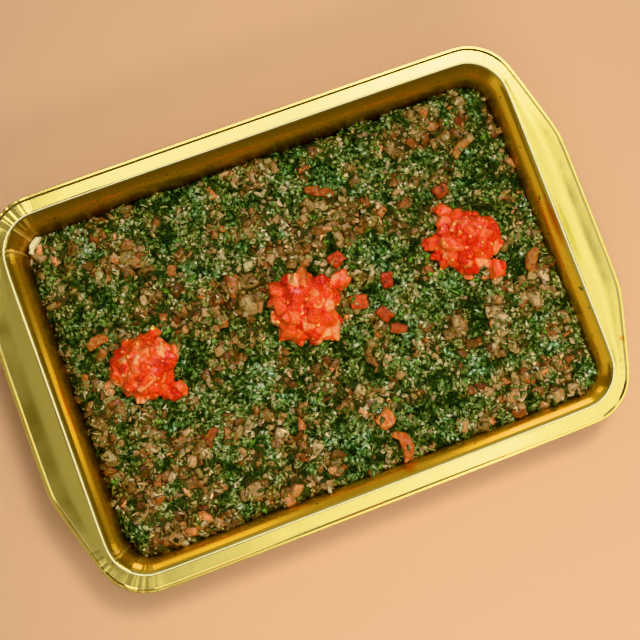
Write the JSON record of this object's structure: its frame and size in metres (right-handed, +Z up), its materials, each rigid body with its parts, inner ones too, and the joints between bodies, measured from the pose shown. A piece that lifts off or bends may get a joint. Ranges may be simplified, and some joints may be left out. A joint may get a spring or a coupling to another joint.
{
  "type": "tabbouleh salad in an oven tray",
  "caption": "Rectangular gold-coloured metal oven tray with wing handles, half filled with finely chopped tabbouleh and topped with heaps of diced tomato.",
  "frame": {"origin": "middle of the tray's footprint, on the surface that it stands on", "axes": "+X along the tray from handle to handle, +Y across it, +Z up out of the tray's mouth"},
  "size_m": [0.375, 0.2534, 0.0501],
  "materials": {
    "gold_metal": "satin gold coating",
    "tabbouleh": "moist chopped herbs",
    "tomato": "wet cut tomato",
    "loose_tomato": "wet cut tomato",
    "onion": "wet cut onion"
  },
  "bodies": {
    "root": {"tray": "gold_metal", "salad": "tabbouleh", "tomato_heap_left": "tomato", "tomato_heap_middle": "tomato", "tomato_heap_right": "tomato", "tomato_dice_1": "loose_tomato", "tomato_dice_2": "loose_tomato", "tomato_dice_3": "loose_tomato", "tomato_dice_4": "loose_tomato", "tomato_dice_5": "loose_tomato", "tomato_dice_6": "loose_tomato", "tomato_dice_7": "loose_tomato", "tomato_strip_1": "loose_tomato", "tomato_strip_2": "loose_tomato", "tomato_strip_3": "loose_tomato", "tomato_strip_4": "loose_tomato", "tomato_strip_5": "loose_tomato", "tomato_strip_6": "loose_tomato", "onion_sliver": "onion"}
  },
  "joints": []
}
